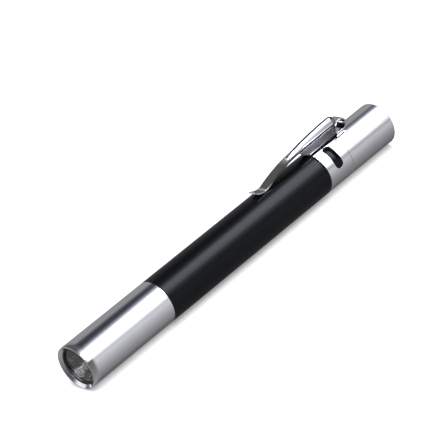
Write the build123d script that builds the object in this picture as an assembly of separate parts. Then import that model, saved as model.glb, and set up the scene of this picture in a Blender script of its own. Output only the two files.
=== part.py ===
from build123d import *
import math
import os

# Pocket penlight with a metal body, a turning clip ring and two AAA cells.
# Lengths in mm. The light shines along -X. +Z is up, through the middle of the pocket clip.
# Stations s are measured along the body from the seam between head and barrel, + towards the tail.

# ---- driving dimensions
BODY_R = 7.0          # outer radius of head, barrel, clip ring and tail cap
HEAD_FRONT = -32.9    # station of the front rim
BARREL_END = 69.42    # station where the black barrel's full diameter ends
RING_START = 69.5
RING_END = 79.68
CAP_START = 79.73
CAP_END = 99.8
AXIS_Z = BODY_R       # the body lies on z = 0
MID = (HEAD_FRONT + CAP_END) / 2

CELL_R = 5.25         # AAA cell
CELL_LEN = 44.5
CELL_BORE_R = 5.4
HEAD_BORE_R = 6.2
SPIGOT_R = 6.15       # front spigot of the barrel
TAIL_JOURNAL_R = 6.0
RING_BORE_R = 6.07
CAP_BORE_R = 6.05
FRONT_SPIGOT = -9.5
TAIL_SPIGOT_END = 88.5

SLOT_S = 74.5         # centre of the slot in the clip ring
SLOT_HALF = 1.55
SLOT_FROM = -30.5     # degrees from +Z towards +Y
SLOT_TURN = 42.0      # how far the ring turns

SHEET = 0.5           # thickness of the clip's sheet
CLIP_HALF_W = 1.7
PLATE_H = 10.66       # height of the clip plate's middle over the body axis, at its rear end
R_OUT, R_IN = 1.94, 1.44
BEND_S = 84.55        # centre of the rear bend
BEND_H = PLATE_H + SHEET / 2 - R_OUT

os.makedirs("parts", exist_ok=True)


def place(shape):
    return Pos(-MID, 0, AXIS_Z) * shape


def save(name, shape):
    export_step(place(shape), f"parts/{name}.step")


def ring_of(points, degrees=360):
    """A body of revolution about X from (station, radius) points."""
    face = make_face(Polyline(*[(s, 0, r) for s, r in points], close=True))
    return revolve(face, axis=Axis.X, revolution_arc=degrees)


def tube(s0, s1, r0, r1):
    return ring_of([(s0, r0), (s1, r0), (s1, r1), (s0, r1)])


def rod(s0, s1, r):
    return Pos((s0 + s1) / 2, 0, 0) * Rotation(0, 90, 0) * Cylinder(r, s1 - s0)


def turned(shape, theta):
    """Turns a feature made at +Z to the angle theta, measured from +Z towards +Y."""
    return Rotation(-theta, 0, 0) * shape


def radial(s, r0, r1, radius):
    """A short cylinder at +Z whose axis points away from the body axis."""
    return Pos(s, 0, (r0 + r1) / 2) * Cylinder(radius, r1 - r0)


def prism(points, w0, w1):
    """A plate between y = w0 and y = w1 from (station, height) points."""
    face = make_face(Polyline(*[(s, w0, h) for s, h in points], close=True))
    return extrude(face, amount=w1 - w0, dir=(0, 1, 0))


def spring(s0, s1, mean_r, wire_r, pitch):
    height = s1 - s0 - 2 * wire_r
    path = Helix(pitch=pitch, height=height, radius=mean_r)
    wire = sweep(Plane(path @ 0, z_dir=path % 0) * Circle(wire_r), path=path, is_frenet=True)
    return Pos(s0 + wire_r, 0, 0) * Rotation(0, 90, 0) * wire


def grooves(s0, s1, pitch, r, depth):
    """Annular thread-form grooves to be cut from a round of radius r."""
    out = []
    s = s0
    while s + pitch <= s1 + 1e-6:
        m = s + pitch / 2
        out.append(ring_of([(m - pitch * 0.36, r + 0.1), (m - pitch * 0.1, r - depth), (m + pitch * 0.1, r - depth), (m + pitch * 0.36, r + 0.1)]))
        s += pitch
    return out


# ---- head: shell, lens and lamp
head = ring_of([
    (HEAD_FRONT + 0.28, BODY_R), (HEAD_FRONT + 0.08, BODY_R - 0.08), (HEAD_FRONT, BODY_R - 0.26),
    (HEAD_FRONT, 6.66), (HEAD_FRONT + 0.05, 6.58), (-32.06, 5.95), (-31.98, 5.9), (-31.87, 5.9), (-31.87, HEAD_BORE_R),
    (-0.25, HEAD_BORE_R), (-0.05, HEAD_BORE_R + 0.15), (-0.05, BODY_R - 0.08), (-0.13, BODY_R),
])
save("head_shell", head)

seal = Pos(-31.64, 0, 0) * Rotation(0, 90, 0) * Torus(5.93, 0.215)
save("lens_seal", seal)
save("lens", ring_of([(-31.42, 0), (-31.42, 6.0), (-31.32, 6.12), (-30.62, 6.12), (-30.54, 6.04), (-30.54, 0)]))

bowl = []
for i in range(15):
    r = 5.3 + (1.9 - 5.3) * i / 14
    bowl.append((-30.52 + (5.3 ** 2 - r ** 2) / 4.0, r))
reflector = ring_of([(-30.52, 6.1), (-29.4, 6.1), (-29.4, 5.8), (-26.3, 4.55), (-24.25, 3.3), (-24.2, 1.9)] + bowl[::-1][1:])
save("reflector", reflector)

led = Pos(-23.85, 0, 0) * Box(0.66, 3.5, 3.5)
led += Pos(-24.15, 0, 0) * Sphere(1.35) & Pos(-25.15, 0, 0) * Box(2.0, 4, 4)
save("led", led)
save("led_board", rod(-23.5, -22.52, 5.75) - rod(-24, -22, 0.55))

holder = ring_of([
    (-29.35, 5.85), (-22.5, 5.85), (-22.5, 1.6), (-20.7, 1.6), (-20.7, 5.0), (-9.6, 5.0), (-9.6, 6.12), (-29.35, 6.12),
])
save("lamp_holder", holder)
save("contact_insulator", ring_of([(-22.45, 1.03), (-22.45, 1.55), (-20.65, 1.55), (-20.65, 4.95), (-11.0, 4.95), (-9.7, 4.2), (-9.7, 3.3), (-10.9, 3.3), (-10.9, 1.03)]))
save("positive_contact", rod(-22.5, -10.8, 1.0) + rod(-10.88, -10.2, 3.2))
save("positive_spring", spring(-10.15, -3.15, 2.3, 0.25, 1.45))

save("head_o_ring", Pos(-1.45, 0, 0) * Rotation(0, 90, 0) * Torus(5.88, 0.29))

# ---- cells
def cell(tip):
    nub = 1.0
    return ring_of([
        (tip, 0), (tip, 1.75), (tip + 0.15, 1.9), (tip + nub, 1.9), (tip + nub, 4.3), (tip + nub + 0.35, 4.95), (tip + nub + 0.75, CELL_R),
        (tip + CELL_LEN - 0.5, CELL_R), (tip + CELL_LEN - 0.15, CELL_R - 0.25), (tip + CELL_LEN - 0.15, 3.6), (tip + CELL_LEN, 3.5), (tip + CELL_LEN, 0),
    ])


save("front_cell", cell(-3.1))
save("rear_cell", cell(-3.1 + CELL_LEN + 0.03))

# ---- barrel
barrel = ring_of([
    (FRONT_SPIGOT, CELL_BORE_R + 0.25), (FRONT_SPIGOT, SPIGOT_R - 0.3), (FRONT_SPIGOT + 0.3, SPIGOT_R), (-2.0, SPIGOT_R),
    (-1.95, 5.56), (-0.95, 5.56), (-0.9, SPIGOT_R), (0, SPIGOT_R), (0, BODY_R - 0.08), (0.08, BODY_R),
    (BARREL_END - 0.5, BODY_R), (BARREL_END - 0.2, BODY_R - 0.06), (BARREL_END, BODY_R - 0.22), (BARREL_END, TAIL_JOURNAL_R),
    (79.9, TAIL_JOURNAL_R), (79.9, 5.72), (80.7, 5.72), (80.7, TAIL_JOURNAL_R), (TAIL_SPIGOT_END - 0.3, TAIL_JOURNAL_R),
    (TAIL_SPIGOT_END, TAIL_JOURNAL_R - 0.25), (TAIL_SPIGOT_END, CELL_BORE_R + 0.2), (TAIL_SPIGOT_END - 0.2, CELL_BORE_R), (FRONT_SPIGOT + 0.25, CELL_BORE_R),
])
for g in grooves(-9.0, -2.4, 1.0, SPIGOT_R, 0.3) + grooves(81.0, 88.0, 1.0, TAIL_JOURNAL_R, 0.25):
    barrel -= g
PIN_AT = SLOT_FROM - SLOT_TURN
barrel -= turned(radial(SLOT_S, 4.5, 6.5, 0.8), PIN_AT)
PAD_AT = 90.0 - SLOT_TURN
barrel -= turned(radial(SLOT_S, 4.5, 6.5, 1.0), PAD_AT)
save("barrel", barrel)

pin = radial(SLOT_S, 5.45, 6.2, 0.78) + radial(SLOT_S, 6.02, 6.78, 1.48)
pin -= rod(SLOT_S - 2, SLOT_S + 2, 5.45)
pin = radial(SLOT_S, 5.45, 6.2, 0.78) + (radial(SLOT_S, 5.9, 6.78, 1.48) - rod(SLOT_S - 3, SLOT_S + 3, 6.02))
save("stop_pin", turned(pin, PIN_AT))

pad = radial(SLOT_S, 5.45, 6.3, 0.98) & rod(SLOT_S - 3, SLOT_S + 3, 5.99)
save("contact_pad", turned(pad, PAD_AT))

# ---- clip ring with its slot, leaf and washer
ring = ring_of([
    (RING_START, RING_BORE_R + 0.1), (RING_START, BODY_R - 0.07), (RING_START + 0.07, BODY_R), (RING_END - 0.04, BODY_R), (RING_END, BODY_R - 0.04),
    (RING_END, 6.72), (78.85, 6.72), (78.85, RING_BORE_R), (RING_START + 0.1, RING_BORE_R),
])
slot = Rotation(-SLOT_FROM, 0, 0) * ring_of([(SLOT_S - SLOT_HALF, 5.5), (SLOT_S + SLOT_HALF, 5.5), (SLOT_S + SLOT_HALF, 7.6), (SLOT_S - SLOT_HALF, 7.6)], SLOT_TURN)
ring -= slot
ring -= turned(radial(SLOT_S, 5.5, 7.6, SLOT_HALF), SLOT_FROM)
ring -= turned(radial(SLOT_S, 5.5, 7.6, SLOT_HALF), PIN_AT)
LEAF_ARC = 48.0
recess = Rotation(-(90 + LEAF_ARC / 2), 0, 0) * ring_of([(72.0, 5.9), (77.0, 5.9), (77.0, 6.47), (72.0, 6.47)], LEAF_ARC)
ring -= recess
save("clip_ring", ring)

leaf = Rotation(-(90 + LEAF_ARC / 2 - 2), 0, 0) * ring_of([(72.4, 6.24), (76.6, 6.24), (76.6, 6.45), (72.4, 6.45)], LEAF_ARC - 4)
dimple = radial(SLOT_S, 5.9, 6.3, 0.6) - rod(SLOT_S - 3, SLOT_S + 3, 6.03)
leaf += turned(dimple, 90)
save("contact_leaf", leaf)
save("spring_washer", ring_of([(78.9, 6.12), (79.42, 6.66), (79.62, 6.66), (79.1, 6.12)]))

# ---- the clip's centre line: contact bend, ramp, and a plate that rises a little towards the rear
W = CLIP_HALF_W
CLIP_LINE = [(44.95, 8.55), (46.2, 7.95), (47.7, 7.42), (49.3, 7.31), (50.9, 7.71), (53.5, 8.5), (56.6, 9.24), (60.9, 10.02), (65.7, 10.36), (72.0, 10.54), (79.0, PLATE_H)]
line = Spline(*[(s, 0, h) for s, h in CLIP_LINE], tangents=[(0.9, 0, -0.43), (1, 0, 0)])
N = 60
mid = [line @ (i / N) for i in range(N + 1)]
tan = [line % (i / N) for i in range(N + 1)]


def plate_height(s):
    """Height of the middle of the sheet at station s, on the part behind the contact bend."""
    for p, q in zip(mid, mid[1:]):
        if p.X <= s <= q.X and p.X > 49:
            return p.Z + (q.Z - p.Z) * (s - p.X) / (q.X - p.X)
    return PLATE_H


def bend_band(a0, a1):
    """Part of the rear bend between two angles, with true round faces on the bend's axis."""
    round_ = Pos(BEND_S, 0, BEND_H) * Rotation(90, 0, 0) * (Cylinder(R_OUT, 2 * W) - Cylinder(R_IN, 2 * W))
    reach = [(BEND_S + 4 * math.cos(math.radians(a0 + (a1 - a0) * i / 6)), BEND_H + 4 * math.sin(math.radians(a0 + (a1 - a0) * i / 6))) for i in range(7)]
    return round_ & prism([(BEND_S, BEND_H)] + reach, -W - 1, W + 1)


# ---- clip bracket: folded channel on the ring, with the lower half of the rear bend
floor_h = BEND_H - R_IN
floor = prism([(RING_START + 0.05, 6.3), (81.2, 6.3), (81.2, floor_h), (RING_START + 0.05, floor_h)], -W, W)
leg = prism([(81.0, BEND_H - R_OUT), (BEND_S, BEND_H - R_OUT), (BEND_S, floor_h), (81.0, floor_h)], -W, W)
curl = bend_band(-90, -20)
cheek = [(RING_START + 0.05, 6.3), (RING_START, 7.0), (65.9, 9.3), (65.7, 10.04), (72.0, 10.22), (79.0, 10.35), (82.0, 10.35), (81.0, 6.3)]
bracket = floor + leg + curl + prism(cheek, -W, -W + 0.45) + prism(cheek, W - 0.45, W)
CORNER = 0.75         # outer radius of the fold between floor and cheek
for side in (-1, 1):
    low = BEND_H - R_OUT
    fold = [(side * (W + 0.5), 5.5), (side * (W + 0.5), low + CORNER), (side * W, low + CORNER)]
    fold += [(side * (W - CORNER + CORNER * math.cos(math.radians(g))), low + CORNER - CORNER * math.sin(math.radians(g))) for g in range(10, 91, 10)]
    fold += [(side * (W - CORNER), 5.5)]
    outside = make_face(Polyline(*[(62.0, y, h) for y, h in fold], close=True))
    bracket -= extrude(outside, amount=81.3 - 62.0, dir=(1, 0, 0))
bracket -= rod(60, RING_START + 0.05, BODY_R + 0.05)
bracket -= rod(RING_START - 1, RING_END, BODY_R)
bracket -= rod(RING_END - 0.01, 90, BODY_R + 0.03)
save("clip_bracket", bracket)

# ---- clip: sprung arm with a pressed bead, and the upper half of the rear bend
up = [(p.X - t.Z * SHEET / 2, p.Z + t.X * SHEET / 2) for p, t in zip(mid, tan)]
down = [(p.X + t.Z * SHEET / 2, p.Z - t.X * SHEET / 2) for p, t in zip(mid, tan)]
arm = prism(up + [(BEND_S, PLATE_H + SHEET / 2), (BEND_S, PLATE_H - SHEET / 2)] + down[::-1], -W, W)
# the plan shape: rounded tip corners
plan = make_face(Polyline((45.7, -W), (90, -W), (90, W), (45.7, W), (45.15, W - 0.25), (44.9, W - 0.8), (44.9, -W + 0.8), (45.15, -W + 0.25), close=True))
arm &= Pos(0, 0, 5) * extrude(plan, amount=8)
bend = bend_band(90, -5)
bead_sections = [(61.3, 0.8, 0.7), (64.0, 1.05, 1.2), (68.0, 1.24, 1.62), (73.0, 1.38, 1.94), (78.0, 1.45, 2.15), (81.3, 1.45, 2.19), (82.5, 1.25, 1.85), (83.15, 0.8, 1.2)]
faces = [Plane(origin=(s, 0, plate_height(s) + 0.1), x_dir=(0, 1, 0), z_dir=(1, 0, 0)) * Ellipse(a, b) for s, a, b in bead_sections]
bead = loft(faces)
bead &= prism([(60.5 + 0.5 * i, plate_height(60.5 + 0.5 * i)) for i in range(48)] + [(84.0, 15), (60.5, 15)], -4, 4)
clip = arm + bend + bead
save("clip", clip)

# ---- tail cap and its contact
cap = ring_of([
    (CAP_START, CAP_BORE_R + 0.1), (CAP_START, BODY_R - 0.04), (CAP_START + 0.04, BODY_R), (CAP_END - 0.38, BODY_R), (CAP_END - 0.235, BODY_R - 0.03), (CAP_END - 0.11, BODY_R - 0.11),
    (CAP_END - 0.03, BODY_R - 0.235), (CAP_END, BODY_R - 0.38), (CAP_END, 0), (94.0, 0), (94.0, 5.6), (89.4, 5.6), (89.4, CAP_BORE_R), (CAP_START + 0.1, CAP_BORE_R),
])
save("tail_cap", cap)
save("tail_contact", ring_of([(93.45, 0), (93.45, 5.5), (93.98, 5.5), (93.98, 0)]))
save("tail_spring", spring(-3.1 + 2 * CELL_LEN + 0.08, 93.43, 3.3, 0.35, 1.75))
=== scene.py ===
import math

import bmesh
import bpy
import numpy as np
from mathutils import Matrix, Vector


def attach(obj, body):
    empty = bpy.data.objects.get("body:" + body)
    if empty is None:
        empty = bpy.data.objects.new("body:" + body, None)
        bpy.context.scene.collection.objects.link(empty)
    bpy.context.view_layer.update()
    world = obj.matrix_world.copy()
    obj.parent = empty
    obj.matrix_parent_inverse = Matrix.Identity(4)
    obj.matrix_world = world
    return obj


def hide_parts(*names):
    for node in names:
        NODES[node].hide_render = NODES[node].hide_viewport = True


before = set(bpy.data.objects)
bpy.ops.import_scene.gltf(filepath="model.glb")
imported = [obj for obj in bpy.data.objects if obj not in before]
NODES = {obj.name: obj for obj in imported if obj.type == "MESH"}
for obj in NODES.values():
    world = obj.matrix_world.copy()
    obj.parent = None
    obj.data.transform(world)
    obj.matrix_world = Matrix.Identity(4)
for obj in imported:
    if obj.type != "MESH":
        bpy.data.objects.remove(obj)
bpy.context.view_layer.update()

# Stations s run along the body from the seam between head and barrel, heights h and radii from the body axis, all in mm.
# The frame itself is in metres: X = (s - MID) / 1000, Z = (h + AXIS) / 1000.
MID, AXIS = 33.45, 7.0
R = 7.0
HEAD_FRONT, BARREL_END, RING_START, RING_END, CAP_START, CAP_END = -32.9, 69.42, 69.5, 79.68, 79.73, 99.8
SLOT_S, SLOT_HALF, SLOT_FROM, SLOT_TURN = 74.5, 1.55, -30.5, 42.0
PIN_AT = SLOT_FROM - SLOT_TURN
PAD_AT = 90.0 - SLOT_TURN
W, SHEET, PLATE_H, BEND_S = 1.7, 0.5, 10.66, 84.55
R_OUT, R_IN = 1.94, 1.44
R_MID = (R_OUT + R_IN) / 2
BEND_H = PLATE_H + SHEET / 2 - R_OUT
PITCH = 1.0  # one turn of the head or cap moves it this far


def pt(s, y, h):
    return ((s - MID) / 1000, y / 1000, (h + AXIS) / 1000)


# ------------------------------------------------------------------ mesh helpers
def finish_mesh(name, verts, faces, sharp=34.0, merge=1e-8):
    """A closed smooth-shaded mesh object, in metres, from (s, y, h) points in mm."""
    me = bpy.data.meshes.new(name)
    me.from_pydata([pt(*v) for v in verts], [], faces)
    me.validate()
    ob = bpy.data.objects.new(name, me)
    bpy.context.scene.collection.objects.link(ob)
    tidy(ob, sharp, merge)
    return ob


def tidy(ob, sharp=34.0, merge=1e-8):
    bm = bmesh.new()
    bm.from_mesh(ob.data)
    bmesh.ops.remove_doubles(bm, verts=bm.verts, dist=merge)
    bmesh.ops.dissolve_degenerate(bm, edges=bm.edges, dist=merge)
    bmesh.ops.recalc_face_normals(bm, faces=bm.faces)
    bm.to_mesh(ob.data)
    bm.free()
    ob.data.shade_smooth()
    ob.data.set_sharp_from_angle(angle=math.radians(sharp))
    ob.data.update()


def arc_corner(p0, p1, p2, rad, n):
    """The corner p1 between p0 and p2, rounded to rad with n + 1 points."""
    a, b, c = np.array(p0, float), np.array(p1, float), np.array(p2, float)
    u, v = a - b, c - b
    lu, lv = np.linalg.norm(u), np.linalg.norm(v)
    u, v = u / lu, v / lv
    half = math.acos(max(-1, min(1, float(u @ v)))) / 2
    if half > math.radians(89.5):
        return [tuple(b)]
    t = min(rad / math.tan(half), 0.49 * lu, 0.49 * lv)
    rad = t * math.tan(half)
    mid = (u + v) / np.linalg.norm(u + v)
    centre = b + mid * (rad / math.sin(half))
    s0, s1 = b + u * t - centre, b + v * t - centre
    a0, a1 = math.atan2(s0[1], s0[0]), math.atan2(s1[1], s1[0])
    d = (a1 - a0 + math.pi) % (2 * math.pi) - math.pi
    return [tuple(centre + rad * np.array([math.cos(a0 + d * i / n), math.sin(a0 + d * i / n)])) for i in range(n + 1)]


def rounded(points, closed=True, support=0.03):
    """points: (s, r) or (s, r, fillet) or (s, r, fillet, steps). Rounds the corners and puts a support point beside each end of a straight run, so that smooth shading stays true on it."""
    n = len(points)
    out = []
    for i, p in enumerate(points):
        rad = p[2] if len(p) > 2 else 0
        steps = p[3] if len(p) > 3 else 4
        if rad > 0 and (closed or 0 < i < n - 1):
            out += arc_corner(points[i - 1][:2], p[:2], points[(i + 1) % n][:2], rad, steps)
        else:
            out.append(tuple(p[:2]))
    full = []
    m = len(out)
    for i, p in enumerate(out):
        full.append(p)
        if i == m - 1 and not closed:
            break
        q = out[(i + 1) % m]
        d = math.dist(p, q)
        if d > 5 * support:
            k = support / d
            full.append((p[0] + (q[0] - p[0]) * k, p[1] + (q[1] - p[1]) * k))
            full.append((q[0] - (q[0] - p[0]) * k, q[1] - (q[1] - p[1]) * k))
    return full


def spin(profile, segs, closed=True, thread=None):
    """Vertices and faces of a body of revolution from an (s, r) loop. thread(s, r, turn) may move a radius."""
    verts, faces, index = [], [], {}
    for i, (s, r) in enumerate(profile):
        if r < 1e-6:
            index[i] = [len(verts)] * segs
            verts.append((s, 0, 0))
            continue
        row = []
        for k in range(segs):
            a = 2 * math.pi * k / segs
            rr = thread(s, r, k / segs) if thread else r
            row.append(len(verts))
            verts.append((s, rr * math.sin(a), rr * math.cos(a)))
        index[i] = row
    m = len(profile)
    for i in range(m if closed else m - 1):
        j = (i + 1) % m
        for k in range(segs):
            k2 = (k + 1) % segs
            f = [index[i][k], index[j][k], index[j][k2], index[i][k2]]
            f = [v for n_, v in enumerate(f) if v not in f[:n_]]
            if len(f) > 2:
                faces.append(f)
    return verts, faces


def lathe(name, profile, segs=192, closed=True, thread=None, sharp=34.0):
    return finish_mesh(name, *spin(profile, segs, closed, thread), sharp=sharp)


def dense(s0, s1, r, step):
    n = max(2, int(round(abs(s1 - s0) / step)))
    return [(s0 + (s1 - s0) * i / n, r) for i in range(n + 1)]


def screw(zones):
    """zones: (s0, s1, nominal r, depth). A helical 60 degree form cut to depth below r if depth > 0, or above it if depth < 0, that fades out at both ends."""
    def move(s, r, turn):
        for s0, s1, rn, depth in zones:
            if s0 <= s <= s1 and abs(r - rn) < 1e-6:
                f = ((s / PITCH - turn) % 1.0)
                form = max(0.0, min(1.0, (0.5 - abs(f - 0.5)) * 3.4 - 0.35))
                fade = max(0.0, min(1.0, (s - s0) / 0.5, (s1 - s) / 0.5))
                return r - depth * form * fade
        return r
    return move


def apply_boolean(ob, cutter, operation="DIFFERENCE"):
    mod = ob.modifiers.new("cut", "BOOLEAN")
    mod.operation, mod.solver, mod.object = operation, "EXACT", cutter
    dg = bpy.context.evaluated_depsgraph_get()
    me = bpy.data.meshes.new_from_object(ob.evaluated_get(dg))
    old = ob.data
    ob.modifiers.clear()
    ob.data = me
    me.name = ob.name
    bpy.data.meshes.remove(old)
    bpy.data.objects.remove(cutter)
    return ob


def radial_plug(name, theta, s, rho0, rho1, radius, segs=48):
    """A closed cylinder whose axis points away from the body axis at the angle theta."""
    verts, faces = [], []
    t = math.radians(theta)
    for rho in (rho0, rho1):
        for k in range(segs):
            a = 2 * math.pi * k / segs
            ds, dt = radius * math.sin(a), radius * math.cos(a)
            verts.append((s + ds, rho * math.sin(t) + dt * math.cos(t), rho * math.cos(t) - dt * math.sin(t)))
    for k in range(segs):
        k2 = (k + 1) % segs
        faces.append([k, k2, segs + k2, segs + k])
    faces += [list(range(segs))[::-1], list(range(segs, 2 * segs))]
    return finish_mesh(name, verts, faces)


def arc_block(name, s0, s1, r0, r1, t0, t1, segs=40):
    verts, faces = [], []
    for k in range(segs + 1):
        t = math.radians(t0 + (t1 - t0) * k / segs)
        for s, r in ((s0, r0), (s1, r0), (s1, r1), (s0, r1)):
            verts.append((s, r * math.sin(t), r * math.cos(t)))
    for k in range(segs):
        for j in range(4):
            j2 = (j + 1) % 4
            faces.append([4 * k + j, 4 * k + j2, 4 * k + 4 + j2, 4 * k + 4 + j])
    faces += [[0, 1, 2, 3], [4 * segs + 3, 4 * segs + 2, 4 * segs + 1, 4 * segs]]
    return finish_mesh(name, verts, faces)


def bar(name, section, s0, s1):
    """A closed bar along the body from (y, h) points."""
    n = len(section)
    verts = [(s, y, h) for s in (s0, s1) for y, h in section]
    faces = [[k, (k + 1) % n, n + (k + 1) % n, n + k] for k in range(n)]
    faces += [list(range(n))[::-1], list(range(n, 2 * n))]
    return finish_mesh(name, verts, faces)


def rounded_prism(name, outline, y0, y1, rad, steps=3):
    """A plate between y0 and y1 from (s, h) points, with every edge rounded."""
    bm = bmesh.new()
    low = [bm.verts.new(pt(s, y0, h)) for s, h in outline]
    high = [bm.verts.new(pt(s, y1, h)) for s, h in outline]
    bm.faces.new(low)
    bm.faces.new(high[::-1])
    n = len(outline)
    for i in range(n):
        bm.faces.new([low[i], high[i], high[(i + 1) % n], low[(i + 1) % n]])
    bmesh.ops.recalc_face_normals(bm, faces=bm.faces)
    edges = [e for e in bm.edges if e.calc_face_angle(0) > math.radians(20)]
    bmesh.ops.bevel(bm, geom=edges, offset=rad / 1000, segments=steps, profile=0.5, affect="EDGES", clamp_overlap=True)
    me = bpy.data.meshes.new(name)
    bm.to_mesh(me)
    bm.free()
    ob = bpy.data.objects.new(name, me)
    bpy.context.scene.collection.objects.link(ob)
    tidy(ob)
    return ob


# ------------------------------------------------------------------ turned pieces
# head shell: rounded front edge, bevelled mouth, thread inside its rear end
head_thread = (-8.6, -1.9, 6.2, -0.22)
profile = rounded([
    (HEAD_FRONT, R, 0.3, 8), (HEAD_FRONT, 6.62, 0.09, 5), (-32.02, 5.9, 0.1, 4), (-31.87, 5.9, 0.03, 2), (-31.87, 6.2),
])
profile += dense(-31.0, -9.0, 6.2, 4.0) + dense(-8.7, -1.8, 6.2, 0.0625)
profile += rounded([(-1.6, 6.2), (-0.3, 6.2, 0.05, 2), (-0.05, 6.42, 0.05, 2), (-0.05, R, 0.09, 5), (-0.6, R)], closed=False)
profile += dense(-1.0, -32.2, R, 2.2)
head = lathe("head_shell_polished", profile, segs=192, thread=screw([head_thread]))

# barrel: full diameter, front spigot with thread and ring groove, tail journal and thread, bored through
profile = rounded([(-9.3, 5.4, 0.1, 2), (-9.5, 5.62, 0.05, 2), (-9.5, 5.98, 0.08, 2), (-9.32, 6.15, 0.06, 2), (-9.1, 6.15)], closed=False)
profile += dense(-9.0, -2.3, 6.15, 0.0625)
profile += rounded([
    (-2.2, 6.15), (-2.0, 6.15, 0.04, 2), (-2.0, 5.56, 0.1, 3), (-0.9, 5.56, 0.1, 3), (-0.9, 6.15, 0.04, 2), (0.0, 6.15, 0.05, 3), (0.0, R, 0.09, 5), (0.6, R),
], closed=False)
profile += dense(2.0, 68.0, R, 3.0)
profile += rounded([
    (68.3, R), (68.95, R, 0.6, 6), (BARREL_END, R - 0.17, 0.1, 4), (BARREL_END, 6.0, 0.06, 3), (70.0, 6.0), (79.0, 6.0), (79.9, 6.0, 0.04, 2), (79.9, 5.72, 0.05, 2), (80.7, 5.72, 0.05, 2), (80.7, 6.0, 0.04, 2), (80.9, 6.0),
], closed=False)
profile += dense(80.95, 88.1, 6.0, 0.0625)
profile += rounded([(88.15, 6.0), (88.3, 6.0, 0.06, 2), (88.5, 5.8, 0.06, 2), (88.5, 5.6, 0.05, 2), (88.3, 5.4, 0.05, 2), (88.0, 5.4)], closed=False)
profile += dense(84.0, -8.0, 5.4, 6.0)
barrel = lathe("barrel_black", profile, segs=192, thread=screw([(-9.05, -2.25, 6.15, 0.3), (80.9, 88.12, 6.0, 0.27)]))
apply_boolean(barrel, radial_plug("c", PIN_AT, SLOT_S, 4.5, 6.6, 0.8))
apply_boolean(barrel, radial_plug("c", PAD_AT, SLOT_S, 4.5, 6.6, 1.0))
tidy(barrel)

# tail cap: domed rear edge, blind bore with a thread
profile = [(CAP_END, 0.0)] + rounded([
    (CAP_END, 2.0), (CAP_END, 6.3), (CAP_END, R, 0.38, 12), (98.6, R),
], closed=False)
profile += dense(97.5, 81.5, R, 2.0)
profile += rounded([(80.6, R), (CAP_START, R, 0.05, 4), (CAP_START, 6.12, 0.04, 2), (79.9, 6.05, 0.04, 2), (80.5, 6.05)], closed=False)
profile += dense(80.9, 88.9, 6.05, 0.0625)
profile += rounded([(89.0, 6.05), (89.4, 6.05, 0.04, 2), (89.4, 5.6, 0.06, 2), (94.0, 5.6, 0.2, 3), (94.0, 3.0)], closed=False) + [(94.0, 0.0)]
cap = lathe("tail_cap_polished", profile, segs=192, closed=False, thread=screw([(81.0, 88.8, 6.05, -0.24)]))

# lens, flat on both faces, and the paraboloid reflector behind it
profile = [(-31.42, 0.0)] + [(-31.42 + 0.0 * u, 6.0 * u) for u in (0.2, 0.4, 0.6, 0.8, 0.95)]
profile += rounded([(-31.42, 5.9), (-31.42, 6.12, 0.1, 4), (-30.54, 6.12, 0.1, 4), (-30.54, 5.9)], closed=False)
profile += [(-30.54, 6.0 * u) for u in (0.95, 0.8, 0.6, 0.4, 0.2)] + [(-30.54, 0.0)]
lens = lathe("lens_clear", profile, segs=128, closed=False)

bowl = []
for i in range(33):
    r = 1.9 + (5.3 - 1.9) * i / 32
    bowl.append((-30.52 + (5.3 ** 2 - r ** 2) / 4.0, r))
profile = bowl + rounded([(-30.52, 5.36), (-30.52, 6.1, 0.05, 3), (-29.4, 6.1, 0.05, 2), (-29.4, 5.8, 0.1, 3), (-26.3, 4.55, 0.5, 4), (-24.25, 3.3, 0.1, 2), (-24.2, 1.95)], closed=False)
reflector = lathe("reflector_bowl", profile, segs=128)

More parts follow.
